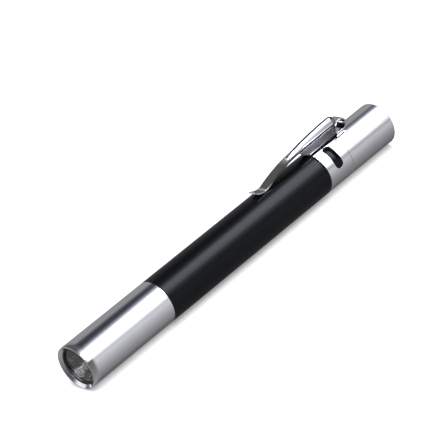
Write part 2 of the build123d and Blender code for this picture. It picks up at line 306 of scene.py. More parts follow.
# ------------------------------------------------------------------ clip ring, with its rounded-end slot
def slotted_ring():
    s0, s1 = 70.4, 78.4
    n_end, n_side, n_mid = 6, 14, 26
    f = 0.07
    reach = math.degrees(math.asin((SLOT_HALF + 1.0) / R))
    th1, th2 = PIN_AT, SLOT_FROM
    tha, thb = th1 - reach, th2 + reach
    lines = [tha + (th1 - tha) * i / n_end for i in range(n_end)]
    lines += [th1 + (th2 - th1) * i / n_mid for i in range(n_mid)]
    lines += [th2 + (thb - th2) * i / n_end for i in range(n_end + 1)]
    n_in = len(lines)
    rest = 360 - (thb - tha)
    n_rest = int(rest / 1.9)
    lines += [thb + rest * i / n_rest for i in range(1, n_rest)]
    n_all = len(lines)
    side = [s0 + (s1 - s0) * i / n_side for i in range(n_side + 1)]
    outer_head = rounded([(RING_START, 6.6), (RING_START, R, 0.09, 5), (s0, R)], closed=False)[:-1]
    outer = [(s, R) for s in side]
    tail = rounded([(s1, R), (RING_END, R, 0.05, 4), (RING_END, 6.72, 0.04, 2), (78.85, 6.72, 0.06, 2), (78.85, 6.07, 0.04, 2), (s1, 6.07)], closed=False)[1:-1]
    inner = [(s, 6.07) for s in side[::-1]]
    front = rounded([(s0, 6.07), (RING_START + 0.05, 6.07, 0.03, 2), (RING_START, 6.2, 0.03, 2), (RING_START, 6.6)], closed=False)[1:-1]
    profile = outer_head + outer + tail + inner + front
    o0 = len(outer_head)
    i0 = o0 + len(outer) + len(tail)
    verts, faces = [], []
    grid = {}
    for i, (s, r) in enumerate(profile):
        for k, th in enumerate(lines):
            inside = 0 < k < n_in - 1
            if inside and (o0 < i < o0 + n_side or i0 < i < i0 + n_side):
                continue
            a = math.radians(th)
            grid[i, k] = len(verts)
            verts.append((s, r * math.sin(a), r * math.cos(a)))
    m = len(profile)
    for i in range(m):
        j = (i + 1) % m
        patch = o0 <= i < o0 + n_side or i0 <= i < i0 + n_side
        for k in range(n_all):
            k2 = (k + 1) % n_all
            if patch and k < n_in - 1:
                continue
            faces.append([grid[i, k], grid[j, k], grid[j, k2], grid[i, k2]])

    # the slot's outline, as (centre angle, tangential offset share, station offset share), starting at th1 on the s1 side
    spec, rim_outer, rim_inner = [], [], []
    def rim(i_s, k):
        rim_outer.append(grid[o0 + i_s, k])
        rim_inner.append(grid[i0 + (n_side - i_s), k])
    for i in range(n_mid):                       # s1 side, th1 -> th2
        spec.append((th1 + (th2 - th1) * i / n_mid, 0.0, 1.0))
        rim(n_side, n_end + i)
    n_arc = 2 * n_end + n_side
    for i in range(n_arc):                       # end at th2
        al = math.radians(90 - 180 * i / n_arc)
        spec.append((th2, math.cos(al), math.sin(al)))
        if i <= n_end:
            rim(n_side, n_end + n_mid + i)
        elif i <= n_end + n_side:
            rim(n_side - (i - n_end), n_in - 1)
        else:
            rim(0, n_in - 1 - (i - n_end - n_side))
    for i in range(n_mid):                       # s0 side, th2 -> th1
        spec.append((th2 + (th1 - th2) * i / n_mid, 0.0, -1.0))
        rim(0, n_end + n_mid - i)
    for i in range(n_arc):                       # end at th1
        al = math.radians(-90 - 180 * i / n_arc)
        spec.append((th1, math.cos(al), math.sin(al)))
        if i <= n_end:
            rim(0, n_end - i)
        elif i <= n_end + n_side:
            rim(i - n_end, 0)
        else:
            rim(n_side, i - n_end - n_side)

    def loop(width, rho):
        out = []
        for th, ct, st in spec:
            a = math.radians(th) + math.asin(width * ct / rho)
            out.append(len(verts))
            verts.append((SLOT_S + width * st, rho * math.sin(a), rho * math.cos(a)))
        return out

    def where(v, rho):
        s, y, h = verts[v]
        return s, math.atan2(y, h)

    def bridge(a, b):
        n = len(a)
        for i in range(n):
            faces.append([a[i], a[(i + 1) % n], b[(i + 1) % n], b[i]])

    def blend(first, last, rho, steps):
        prev = first
        for t in range(1, steps):
            u = t / steps
            ring = []
            for a, b in zip(first, last):
                sa, aa = where(a, rho)
                sb, ab = where(b, rho)
                s, an = sa + (sb - sa) * u, aa + (ab - aa) * u
                ring.append(len(verts))
                verts.append((s, rho * math.sin(an), rho * math.cos(an)))
            bridge(prev, ring)
            prev = ring
        bridge(prev, last)

    fillet = []
    for j in range(6):
        b = math.radians(90 * j / 5)
        fillet.append(loop(SLOT_HALF + f * (1 - math.sin(b)), R - f * (1 - math.cos(b))))
    support = loop(SLOT_HALF + f + 0.03, R)
    blend(support, rim_outer, R, 7)
    bridge(support, fillet[0])
    for a, b in zip(fillet, fillet[1:]):
        bridge(a, b)
    low = loop(SLOT_HALF, R - f - 0.03)
    bridge(fillet[-1], low)
    deep = loop(SLOT_HALF, 6.1)
    bridge(low, deep)
    lip = loop(SLOT_HALF + 0.03, 6.07)
    bridge(deep, lip)
    blend(lip, rim_inner, 6.07, 5)
    return finish_mesh("clip_ring_polished", verts, faces)


ring = slotted_ring()
apply_boolean(ring, arc_block("c", 72.0, 77.0, 5.9, 6.47, 66.0, 114.0))
tidy(ring)

# ------------------------------------------------------------------ clip: sprung arm, pressed bead, upper half of the rear bend
def natural_spline(points, per):
    p = np.array(points, float)
    t = np.concatenate([[0], np.cumsum(np.linalg.norm(np.diff(p, axis=0), axis=1))])
    n = len(p)
    a = np.zeros((n, n))
    rhs = np.zeros((n, 2))
    a[0, 0] = a[-1, -1] = 1
    hs = np.diff(t)
    for i in range(1, n - 1):
        a[i, i - 1], a[i, i], a[i, i + 1] = hs[i - 1], 2 * (hs[i - 1] + hs[i]), hs[i]
        rhs[i] = 6 * ((p[i + 1] - p[i]) / hs[i] - (p[i] - p[i - 1]) / hs[i - 1])
    m = np.linalg.solve(a, rhs)
    out = []
    for i in range(n - 1):
        for k in range(per):
            u = t[i] + hs[i] * k / per
            x, y = t[i + 1] - u, u - t[i]
            out.append(m[i] * x ** 3 / (6 * hs[i]) + m[i + 1] * y ** 3 / (6 * hs[i]) + (p[i] / hs[i] - m[i] * hs[i] / 6) * x + (p[i + 1] / hs[i] - m[i + 1] * hs[i] / 6) * y)
    out.append(p[-1])
    return np.array(out)


def bead_size(s):
    """Half width and height of the pressed bead over the plate's top."""
    start, end = 61.32, 83.25
    if s <= start - 0.04 or s >= end:
        return 0.9, 0.0
    ss = [61.3, 64.0, 68.0, 73.0, 78.0, 81.0, 81.6]
    aa = [0.80, 1.05, 1.24, 1.38, 1.44, 1.45, 1.45]
    bb = [0.45, 0.98, 1.42, 1.75, 1.98, 2.02, 2.02]
    a, b = float(np.interp(s, ss, aa)), float(np.interp(s, ss, bb))
    if s < start:
        b *= (s - start + 0.04) / 0.04
    round_from = 81.4
    if s > round_from:
        u = (s - round_from) / (end - round_from)
        k = math.sqrt(max(0.0, 1 - u * u))
        b *= k
        a *= 0.45 + 0.55 * k
    return a, b


def strip_section(half_w, thick, a=0.9, b=0.0, edge=0.07, n_top=33, n_low=9):
    """Points (y, n) round a sheet's section: top with its bead, rounded edges, underside."""
    t = thick / 2
    e = min(edge, t * 0.96)
    out = []
    ye = min(a + 0.07, half_w - e)
    flat = [-(half_w - e) + (half_w - e - ye) * i / 3 for i in range(3)]
    ys = flat + [ye * math.sin(math.pi / 2 * (-1 + 2 * i / (n_top - 1))) for i in range(n_top)] + [-y for y in flat[::-1]]
    for y in ys:
        top = t
        if b > 0 and abs(y) < a:
            v = t - 0.04 + (b + 0.04) * (1 - abs(y / a) ** 2.2)
            k = 0.05
            top = (t + v + math.sqrt((t - v) ** 2 + k * k)) / 2 - k / 2 if abs(v - t) < 2 else max(t, v)
            top = max(t, top)
        out.append((y, top))
    for i in range(1, 5):
        g = math.radians(90 - 90 * i / 4)
        out.append((half_w - e + e * math.cos(g), t - e + e * math.sin(g)))
    out.append((half_w, -t + e))
    for i in range(1, 5):
        g = math.radians(-90 * i / 4)
        out.append((half_w - e + e * math.cos(g), -t + e + e * math.sin(g)))
    for i in range(1, n_low):
        out.append(((half_w - e) * (1 - 2 * i / n_low), -t))
    out.append((-(half_w - e), -t))
    for i in range(1, 5):
        g = math.radians(-90 - 90 * i / 4)
        out.append((-half_w + e + e * math.cos(g), -t + e + e * math.sin(g)))
    out.append((-half_w, t - e))
    for i in range(1, 4):
        g = math.radians(180 - 90 * i / 4)
        out.append((-half_w + e + e * math.cos(g), t - e + e * math.sin(g)))
    return out


def sweep_strip(name, path, sections):
    """Sweeps (y, n) sections along (s, h) points. path holds (s, h, ts, th) with its unit tangent."""
    verts, faces, rows = [], [], []
    for (s, h, ts, th), sec in zip(path, sections):
        row = []
        for y, n in sec:
            row.append(len(verts))
            verts.append((s - th * n, y, h + ts * n))
        rows.append(row)
    m = len(rows[0])
    for a, b in zip(rows, rows[1:]):
        for i in range(m):
            faces.append([a[i], a[(i + 1) % m], b[(i + 1) % m], b[i]])
    faces += [rows[0][::-1], rows[-1]]
    return finish_mesh(name, verts, faces, sharp=38)


def with_tangents(points):
    p = np.array(points, float)
    d = np.gradient(p, axis=0)
    seg = np.diff(p, axis=0)
    out = []
    for i in range(len(p)):
        v = seg[0] if i == 0 else seg[-1] if i == len(p) - 1 else seg[i - 1] / np.linalg.norm(seg[i - 1]) + seg[i] / np.linalg.norm(seg[i])
        v = v / np.linalg.norm(v)
        out.append((p[i][0], p[i][1], v[0], v[1]))
    return out


CLIP_LINE = [(44.95, 8.55), (46.2, 7.95), (47.7, 7.42), (49.3, 7.31), (50.9, 7.71), (53.5, 8.5), (56.6, 9.24), (60.9, 10.02), (65.7, 10.36), (72.0, 10.54), (79.0, PLATE_H), (82.0, PLATE_H), (BEND_S, PLATE_H)]
curve = natural_spline(CLIP_LINE, 80)


def line_h(s):
    """Height of the middle of the clip's sheet at station s."""
    return min(PLATE_H, float(np.interp(s, curve[:, 0], curve[:, 1])))


arm = [(s, line_h(s)) for s in list(np.linspace(45.27, 52.5, 44)) + list(np.arange(52.8, 61.1, 0.4))]
first = np.array(arm[1]) - np.array(arm[0])
first /= np.linalg.norm(first)
tip = [tuple(np.array(arm[0]) + first * d) for d in (0.0, 0.01, 0.03, 0.08, 0.16, 0.26)]
plate = [61.2, 61.26, 61.28, 61.3, 61.32, 61.35, 61.5] + list(np.arange(62.0, 81.3, 0.6)) + list(np.linspace(81.4, 83.2, 16)) + [83.235, 83.25, 83.3, 83.7, 84.2]
points = tip + arm + [(s, line_h(s)) for s in plate]
n_straight = len(points)
points += [(BEND_S + R_MID * math.cos(math.radians(a)), BEND_H + R_MID * math.sin(math.radians(a))) for a in np.linspace(90, -4.2, 26)]
path = with_tangents(points)
run = np.concatenate([[0], np.cumsum(np.linalg.norm(np.diff(np.array(points), axis=0), axis=1))])
sections = []
for i, ((s, h, ts, th), d) in enumerate(zip(path, run)):
    back = run[-1] - d
    half = W
    if d < 0.8:
        half = W - 0.8 + math.sqrt(max(0, 0.8 ** 2 - (0.8 - d) ** 2))
    thick = SHEET
    for q in (d, back):
        if q < 0.1:
            thick = SHEET - 0.2 + 2 * math.sqrt(max(0, 0.1 ** 2 - (0.1 - q) ** 2))
            half -= 0.1 - math.sqrt(max(0, 0.1 ** 2 - (0.1 - q) ** 2))
    a, b = bead_size(s) if i < n_straight else (0.9, 0.0)
    sections.append(strip_section(half, thick, a, b))
clip = sweep_strip("clip_spring_arm", path, sections)

# clip bracket: floor, foot and lower half of the rear bend in one strip, and two cheeks
lower = [(69.6, BEND_H - R_MID), (69.7, BEND_H - R_MID)] + [(s, BEND_H - R_MID) for s in np.arange(70.2, 84.3, 1.5)]
lower += [(BEND_S + R_MID * math.cos(math.radians(a)), BEND_H + R_MID * math.sin(math.radians(a))) for a in np.linspace(-90, -21.2, 20)]
path = with_tangents(lower)
run = np.concatenate([[0], np.cumsum(np.linalg.norm(np.diff(np.array(lower), axis=0), axis=1))])
sections = []
for (s, h, ts, th), d in zip(path, run):
    thick, half = SHEET, W
    q = run[-1] - d
    if q < 0.1:
        thick = SHEET - 0.2 + 2 * math.sqrt(max(0, 0.1 ** 2 - (0.1 - q) ** 2))
        half -= 0.1 - math.sqrt(max(0, 0.1 ** 2 - (0.1 - q) ** 2))
    sections.append(strip_section(half, thick, n_top=9))
bracket = sweep_strip("clip_bracket_folded", path, sections)
CHEEK = [(69.62, 6.35), (69.54, 7.02), (65.95, 9.3), (65.75, 10.02), (72.0, 10.2), (79.0, 10.33), (81.95, 10.33), (80.95, 6.35)]
for y0, y1 in ((-W, -W + 0.45), (W - 0.45, W)):
    apply_boolean(bracket, rounded_prism("c", CHEEK, y0, y1, 0.09), "UNION")
CORNER = 0.75
for sign in (-1, 1):
    edge = [(sign * (W + 0.4), 5.9), (sign * (W + 0.4), 7.03 + CORNER), (sign * W, 7.03 + CORNER)]
    edge += [(sign * (W - CORNER + CORNER * math.cos(math.radians(g))), 7.03 + CORNER - CORNER * math.sin(math.radians(g))) for g in np.linspace(8, 90, 10)]
    edge += [(sign * (W - CORNER), 5.9)]
    apply_boolean(bracket, bar("c", edge, 60.0, 81.3))
seat = lathe("c", [(66.0, 0.0), (66.0, 7.045), (69.54, 7.045), (69.54, 7.004), (79.69, 7.004), (79.69, 7.035), (90.0, 7.035), (90.0, 0.0)], segs=192, closed=False)
apply_boolean(bracket, seat)
tidy(bracket, 34)

# ------------------------------------------------------------------ materials
class Mat:
    """A small helper for node materials."""

    def __init__(self, name):
        self.m = bpy.data.materials.new(name)
        self.m.use_nodes = True
        self.t = self.m.node_tree
        self.bsdf = next(n for n in self.t.nodes if n.type == "BSDF_PRINCIPLED")
        self.out = next(n for n in self.t.nodes if n.type == "OUTPUT_MATERIAL")
        self._obj = None

    def node(self, kind, **kw):
        n = self.t.nodes.new(kind)
        for k, v in kw.items():
            setattr(n, k, v)
        return n

    def link(self, a, b):
        self.t.links.new(a, b)

    def put(self, socket, value):
        if isinstance(value, bpy.types.NodeSocket):
            self.link(value, socket)
        else:
            socket.default_value = value

    def coord(self):
        if self._obj is None:
            self._obj = self.node("ShaderNodeTexCoord").outputs["Object"]
        return self._obj

    def mapped(self, scale, loc=(0, 0, 0)):
        n = self.node("ShaderNodeMapping")
        n.inputs["Scale"].default_value = scale
        n.inputs["Location"].default_value = loc
        self.link(self.coord(), n.inputs["Vector"])
        return n.outputs["Vector"]

    def noise(self, scale, detail=2.0, rough=0.5, vec=None, distortion=0.0):
        n = self.node("ShaderNodeTexNoise")
        n.inputs["Scale"].default_value = scale
        n.inputs["Detail"].default_value = detail
        n.inputs["Roughness"].default_value = rough
        n.inputs["Distortion"].default_value = distortion
        self.link(vec if vec is not None else self.coord(), n.inputs["Vector"])
        return n.outputs["Fac"]

    def math(self, op, a, b=None, c=None, clamp=False):
        n = self.node("ShaderNodeMath", operation=op)
        n.use_clamp = clamp
        self.put(n.inputs[0], a)
        if b is not None:
            self.put(n.inputs[1], b)
        if c is not None:
            self.put(n.inputs[2], c)
        return n.outputs[0]

    def remap(self, v, a, b, c, d, smooth=False):
        n = self.node("ShaderNodeMapRange")
        n.interpolation_type = "SMOOTHSTEP" if smooth else "LINEAR"
        self.put(n.inputs["Value"], v)
        self.put(n.inputs["From Min"], a)
        self.put(n.inputs["From Max"], b)
        self.put(n.inputs["To Min"], c)
        self.put(n.inputs["To Max"], d)
        return n.outputs["Result"]

    def mix(self, fac, a, b):
        n = self.node("ShaderNodeMix", data_type="RGBA")
        self.put(n.inputs[0], fac)
        self.put(n.inputs[6], a if not isinstance(a, tuple) else (*a, 1) if len(a) == 3 else a)
        self.put(n.inputs[7], b if not isinstance(b, tuple) else (*b, 1) if len(b) == 3 else b)
        return n.outputs[2]

    def xyz(self):
        n = self.node("ShaderNodeSeparateXYZ")
        self.link(self.coord(), n.inputs[0])
        return n.outputs

    def bump(self, height, distance, strength=1.0, after=None):
        n = self.node("ShaderNodeBump")
        n.inputs["Strength"].default_value = strength
        n.inputs["Distance"].default_value = distance
        self.put(n.inputs["Height"], height)
        if after is not None:
            self.link(after, n.inputs["Normal"])
        return n.outputs["Normal"]

    def set(self, **kw):
        names = {"color": "Base Color", "metallic": "Metallic", "rough": "Roughness", "normal": "Normal", "ior": "IOR", "spec": "Specular IOR Level", "aniso": "Anisotropic",
                 "coat": "Coat Weight", "coat_rough": "Coat Roughness", "trans": "Transmission Weight", "tangent": "Tangent", "sheen": "Sheen Weight", "tint": "Specular Tint", "emit": "Emission Color", "emit_s": "Emission Strength", "sub": "Subsurface Weight"}
        for k, v in kw.items():
            if isinstance(v, tuple) and len(v) == 3:
                v = (*v, 1)
            self.put(self.bsdf.inputs[names[k]], v)
        return self.m


def turned_metal(name, color, tint, rough=0.07, turned=1.0):
    """Polished turned metal: faint circumferential lathe marks, smudges in the gloss and a few fine scratches."""
    m = Mat(name)
    lines = m.noise(1.0, 3.0, 0.6, m.mapped((9000, 60, 60)))
    fine = m.noise(1.0, 2.0, 0.6, m.mapped((26000, 90, 90)))
    smudge = m.noise(170.0, 3.0, 0.6)
    scratch = m.noise(1.0, 1.0, 0.5, m.mapped((500, 9000, 9000), (0.4, 0.2, 0)))
    cut = m.remap(scratch, 0.66, 0.72, 0.0, 1.0)
    rg = m.math("ADD", m.remap(smudge, 0.35, 0.75, rough * 0.75, rough * 1.5), m.math("MULTIPLY", cut, 0.05))
    rg = m.math("ADD", rg, m.remap(lines, 0.3, 0.7, -0.012 * turned, 0.018 * turned))
    col = m.mix(m.remap(smudge, 0.35, 0.7, 0.0, 1.0), color, tint)
    nrm = m.bump(lines, 3.0e-7 * turned)
    nrm = m.bump(fine, 1.2e-7 * turned, after=nrm)
    return m.set(color=col, metallic=1.0, rough=rg, normal=nrm)


mat_shell = turned_metal("polished_shell_turned", (0.93, 0.93, 0.945), (0.885, 0.885, 0.905), 0.06)


def painted_shade_inside_bend(m, x, z):
    """1 on the surfaces inside the rear bend, where near-black painted shade goes."""
    bx, bz = (BEND_S - MID) / 1000, (BEND_H + AXIS) / 1000
    rr = m.math("SQRT", m.math("ADD", m.math("POWER", m.math("SUBTRACT", x, bx), 2.0), m.math("POWER", m.math("SUBTRACT", z, bz), 2.0)))
    return m.math("MULTIPLY", m.remap(rr, (R_IN + 0.015) / 1000, (R_IN + 0.04) / 1000, 1.0, 0.0), m.math("GREATER_THAN", x, bx - 0.0002))


def spring_chrome(name="clip_chrome"):
    m = Mat(name)
    x, y, z = m.xyz()
    dark = painted_shade_inside_bend(m, x, z)
    grain = m.noise(1.0, 3.0, 0.6, m.mapped((150, 14000, 14000)))
    smudge = m.noise(320.0, 3.0, 0.6)
    rg = m.math("ADD", m.remap(smudge, 0.35, 0.7, 0.03, 0.075), m.remap(grain, 0.35, 0.7, -0.008, 0.02))
    col = m.mix(smudge, (0.90, 0.90, 0.915), (0.83, 0.835, 0.855))
    # painted reflection: dark grey and rougher, over the bead's crest from its middle to its far side, and along the
    # plate's near edge from s 50 to 82.5 mm
    painted_dark_reflection = m.math("MULTIPLY", m.remap(y, -0.00062, -0.00050, 0.0, 1.0), m.remap(z, (11.25 + AXIS) / 1000, (11.45 + AXIS) / 1000, 0.0, 1.0))
    rim = m.math("MULTIPLY", m.math("LESS_THAN", m.math("ABSOLUTE", m.math("ADD", y, 0.00185)), 0.00041), m.remap(x, (50.0 - MID) / 1000, (52.5 - MID) / 1000, 0.0, 1.0))
    rim = m.math("MULTIPLY", rim, m.math("LESS_THAN", x, (82.5 - MID) / 1000))
    painted_dark_reflection = m.math("MAXIMUM", painted_dark_reflection, rim)
    rg = m.math("ADD", rg, m.math("MULTIPLY", painted_dark_reflection, 0.13))
    col = m.mix(painted_dark_reflection, col, (0.105, 0.105, 0.11))
    # painted shade: near-black on the surfaces inside the rear bend
    col = m.mix(dark, col, (0.02, 0.02, 0.023))
    return m.set(color=col, metallic=1.0, rough=m.math("ADD", rg, m.math("MULTIPLY", dark, 0.3)), normal=m.bump(grain, 1.6e-7))


mat_clip = spring_chrome()


def folded_steel():
    """The folded bracket: drawn, less polished cheeks with a painted shadow line under them, painted shade in the rear
    channel and inside the rear bend, polished again on the foot of the rear bend.
    """
    m = Mat("bracket_drawn_steel")
    x, y, z = m.xyz()
    rear = m.remap(x, (81.2 - MID) / 1000, (82.0 - MID) / 1000, 0.0, 1.0, True)
    grain = m.noise(1.0, 3.0, 0.6, m.mapped((260, 9000, 9000)))
    smudge = m.noise(420.0, 3.0, 0.6)
    drawn = m.mix(smudge, (0.52, 0.51, 0.545), (0.44, 0.435, 0.465))
    bright = m.mix(smudge, (0.90, 0.90, 0.915), (0.83, 0.835, 0.855))
    # painted shade: a near-black line low along the cheeks, and near-black in the channel at the rear and inside the
    # rear bend
    shade_line_top = m.remap(x, (69.5 - MID) / 1000, (81.0 - MID) / 1000, (7.42 + AXIS) / 1000, (7.80 + AXIS) / 1000)
    shade_under_cheeks = m.math("MULTIPLY", m.remap(m.math("SUBTRACT", z, shade_line_top), -0.00006, 0.00006, 1.0, 0.0), m.math("LESS_THAN", x, (81.6 - MID) / 1000))
    channel_shade = m.math("MULTIPLY", m.remap(x, (81.15 - MID) / 1000, (81.35 - MID) / 1000, 0.0, 1.0), m.remap(z, (7.53 + AXIS) / 1000, (7.60 + AXIS) / 1000, 0.0, 1.0))
    channel_shade = m.math("MULTIPLY", channel_shade, m.math("LESS_THAN", x, (82.2 - MID) / 1000))
    dark = m.math("MAXIMUM", m.math("MAXIMUM", shade_under_cheeks, channel_shade), painted_shade_inside_bend(m, x, z))
    rg = m.math("ADD", m.remap(rear, 0.0, 1.0, 0.2, 0.05), m.remap(grain, 0.35, 0.7, -0.02, 0.04))
    rg = m.math("ADD", rg, m.math("MULTIPLY", dark, 0.25))
    col = m.mix(dark, m.mix(rear, drawn, bright), (0.014, 0.014, 0.017))
    return m.set(color=col, metallic=1.0, rough=rg, normal=m.bump(grain, 3.0e-7))


mat_bracket = folded_steel()


def anodised():
    m = Mat("black_anodised_satin")
    grain = m.noise(9000.0, 2.0, 0.7)
    broad = m.noise(55.0, 3.0, 0.55)
    turned = m.noise(1.0, 2.0, 0.6, m.mapped((7000, 50, 50)))
    hair = m.noise(1.0, 1.0, 0.5, m.mapped((260, 7000, 7000), (0.1, 0.7, 0.3)))
    rub = m.remap(hair, 0.67, 0.74, 0.0, 1.0)
    col = m.mix(m.remap(broad, 0.3, 0.7, 0.0, 1.0), (0.0028, 0.003, 0.0038), (0.0042, 0.0045, 0.0056))
    col = m.mix(m.math("MULTIPLY", rub, 0.35), col, (0.014, 0.015, 0.018))
    rg = m.math("ADD", m.remap(broad, 0.3, 0.7, 0.11, 0.14), m.remap(grain, 0.3, 0.7, -0.01, 0.015))
    rg = m.math("ADD", rg, m.math("MULTIPLY", rub, 0.05))
    nrm = m.bump(grain, 5.0e-7)
    nrm = m.bump(turned, 3.0e-7, after=nrm)
    return m.set(color=col, metallic=0.0, rough=rg, normal=nrm, ior=1.5, spec=0.155, tint=(0.93, 0.97, 1.0))


mat_black = anodised()


def clear_lens():
    m = Mat("lens_clear_acrylic")
    dust = m.noise(900.0, 3.0, 0.6)
    m.set(color=(0.97, 0.985, 0.985), trans=1.0, ior=1.49, rough=m.remap(dust, 0.45, 0.8, 0.0, 0.03), metallic=0.0)
    return m.m


mat_lens = clear_lens()


def reflector_mat():
    m = Mat("reflector_metallised")
    x, y, z = m.xyz()
    rr = m.math("SQRT", m.math("ADD", m.math("POWER", y, 2.0), m.math("POWER", m.math("SUBTRACT", z, AXIS / 1000), 2.0)))
    # near-black, non-metallic and rougher on the reflector's flat rim, beyond 5.32 mm from the axis
    dark_flat_rim = m.remap(rr, 0.00531, 0.00534, 0.0, 1.0)
    peel = m.noise(620.0, 2.0, 0.5)
    haze = m.noise(1400.0, 3.0, 0.6)
    stain = m.noise(900.0, 2.0, 0.5, distortion=0.6)
    col = m.mix(haze, (0.30, 0.275, 0.275), (0.19, 0.17, 0.172))
    col = m.mix(m.remap(stain, 0.4, 0.62, 0.0, 0.75, True), col, (0.12, 0.09, 0.088))
    col = m.mix(dark_flat_rim, col, (0.012, 0.013, 0.016))
    rg = m.math("ADD", m.remap(haze, 0.3, 0.7, 0.2, 0.34), m.math("MULTIPLY", dark_flat_rim, 0.3))
    return m.set(color=col, metallic=m.math("SUBTRACT", 1.0, dark_flat_rim), rough=rg, normal=m.bump(peel, 6.0e-5))


mat_reflector = reflector_mat()


def led_mat():
    m = Mat("led_package")
    x, y, z = m.xyz()
    rr = m.math("SQRT", m.math("ADD", m.math("POWER", y, 2.0), m.math("POWER", m.math("SUBTRACT", z, AXIS / 1000), 2.0)))
    phosphor = m.remap(rr, 0.00105, 0.00125, 1.0, 0.0)
    grain = m.noise(6000.0, 2.0, 0.6)
    yellow = m.mix(grain, (0.86, 0.62, 0.10), (0.78, 0.52, 0.07))
    white = m.mix(grain, (0.82, 0.81, 0.78), (0.74, 0.73, 0.70))
    return m.set(color=m.mix(phosphor, white, yellow), rough=m.remap(grain, 0.3, 0.7, 0.12, 0.3), coat=0.8, coat_rough=0.03, sub=0.0, normal=m.bump(grain, 2e-6))


def board_mat():
    m = Mat("led_board_mask")
    g = m.noise(2600.0, 3.0, 0.6)
    w = m.noise(250.0, 2.0, 0.5)
    return m.set(color=m.mix(m.remap(w, 0.4, 0.6, 0.0, 1.0), (0.80, 0.81, 0.78), (0.72, 0.73, 0.70)), rough=m.remap(g, 0.3, 0.7, 0.28, 0.42), normal=m.bump(g, 3e-6))


def brushed(name, a, b, rough, scale, distance, metallic=1.0):
    m = Mat(name)
    g = m.noise(1.0, 3.0, 0.6, m.mapped(scale))
    w = m.noise(240.0, 3.0, 0.6)
    rg = m.math("ADD", m.remap(w, 0.3, 0.7, rough * 0.8, rough * 1.25), m.remap(g, 0.3, 0.7, -0.03, 0.04))
    return m.set(color=m.mix(w, a, b), metallic=metallic, rough=rg, normal=m.bump(g, distance))


def rubber_mat():
    m = Mat("rubber_matt")
    g = m.noise(5200.0, 3.0, 0.7)
    w = m.noise(600.0, 2.0, 0.6)
    return m.set(color=m.mix(w, (0.018, 0.018, 0.019), (0.032, 0.032, 0.034)), rough=m.remap(g, 0.3, 0.7, 0.5, 0.7), normal=m.bump(g, 6e-6), sheen=0.1)


def plastic_mat():
    m = Mat("insulator_moulded")
    g = m.noise(4200.0, 3.0, 0.6)
    w = m.noise(300.0, 2.0, 0.6)
    return m.set(color=m.mix(w, (0.035, 0.035, 0.038), (0.055, 0.055, 0.06)), rough=m.remap(g, 0.3, 0.7, 0.38, 0.52), normal=m.bump(g, 4e-6))


def cell_mat():
    m = Mat("cell_sleeve")
    x, y, z = m.xyz()
    rr = m.math("SQRT", m.math("ADD", m.math("POWER", y, 2.0), m.math("POWER", m.math("SUBTRACT", z, AXIS / 1000), 2.0)))
    sleeve = m.remap(rr, 0.00508, 0.00516, 0.0, 1.0)
    along = m.math("MODULO", m.math("ADD", x, (3.1 + MID) / 1000), 0.04453)
    band = m.math("MULTIPLY", m.math("GREATER_THAN", along, 0.0305), m.math("LESS_THAN", along, 0.0335))
    lower = m.math("GREATER_THAN", along, 0.0335)
    g = m.noise(3000.0, 2.0, 0.6)
    blue = m.mix(g, (0.035, 0.085, 0.22), (0.045, 0.10, 0.25))
    col = m.mix(lower, blue, (0.16, 0.165, 0.17))
    col = m.mix(band, col, (0.62, 0.63, 0.64))
    col = m.mix(sleeve, (0.72, 0.72, 0.73), col)
    metal = m.math("SUBTRACT", 1.0, sleeve)
    return m.set(color=col, metallic=metal, rough=m.remap(g, 0.3, 0.7, 0.2, 0.32), coat=0.4, coat_rough=0.08, normal=m.bump(g, 2e-6))


mat_led, mat_board = led_mat(), board_mat()
mat_holder = brushed("holder_turned_aluminium", (0.68, 0.69, 0.71), (0.60, 0.61, 0.63), 0.24, (14000, 90, 90), 6e-7)
mat_brass = brushed("brass_bright", (0.80, 0.62, 0.29), (0.70, 0.52, 0.22), 0.2, (9000, 9000, 400), 8e-7)
mat_wire = brushed("spring_wire_drawn", (0.62, 0.63, 0.64), (0.50, 0.51, 0.52), 0.26, (5000, 5000, 5000), 1e-6)
mat_rubber, mat_plastic, mat_cell = rubber_mat(), plastic_mat(), cell_mat()

# ------------------------------------------------------------------ pieces onto bodies
made = [
    (head, "head", "head_shell", "polished_shell", mat_shell),
    (barrel, "barrel_body", "barrel", "black_anodised", mat_black),
    (cap, "tail", "tail_cap", "polished_shell", mat_shell),
    (ring, "switch_ring", "clip_ring", "polished_shell", mat_shell),
    (clip, "clip_arm", "clip", "clip_steel", mat_clip),
    (bracket, "switch_ring", "clip_bracket", "clip_steel", mat_bracket),
    (lens, "lamp_module", "lens", "clear_lens", mat_lens),
    (reflector, "lamp_module", "reflector", "reflector_plate", mat_reflector),
]
for ob, body, node, slot, mat in made:
    ob.data.materials.clear()
    ob.data.materials.append(mat)
    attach(ob, body)
    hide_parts(node)

kept = {
    "stop_pin": mat_black, "contact_pad": mat_brass, "head_o_ring": mat_rubber, "front_cell": mat_cell, "rear_cell": mat_cell, "lens_seal": mat_rubber,
    "led": mat_led, "led_board": mat_board, "lamp_holder": mat_holder, "contact_insulator": mat_plastic, "positive_contact": mat_brass, "positive_spring": mat_wire,
    "contact_leaf": mat_brass, "spring_washer": mat_wire, "tail_contact": mat_brass, "tail_spring": mat_wire,
}
for node, mat in kept.items():
    ob = NODES[node]
    ob.data.materials.clear()
    ob.data.materials.append(mat)

# ------------------------------------------------------------------ stage, light and camera
scene = bpy.context.scene
scene.view_settings.view_transform = "Standard"
scene.view_settings.look = "None"
scene.view_settings.exposure = 0.0
scene.view_settings.gamma = 1.0


def emission(name, color, strength):
    m = bpy.data.materials.new(name)
    m.use_nodes = True
    t = m.node_tree
    t.nodes.clear()
    e = t.nodes.new("ShaderNodeEmission")
    o = t.nodes.new("ShaderNodeOutputMaterial")
    e.inputs[0].default_value = (*color, 1)
    e.inputs[1].default_value = strength
    t.links.new(e.outputs[0], o.inputs[0])
    return m


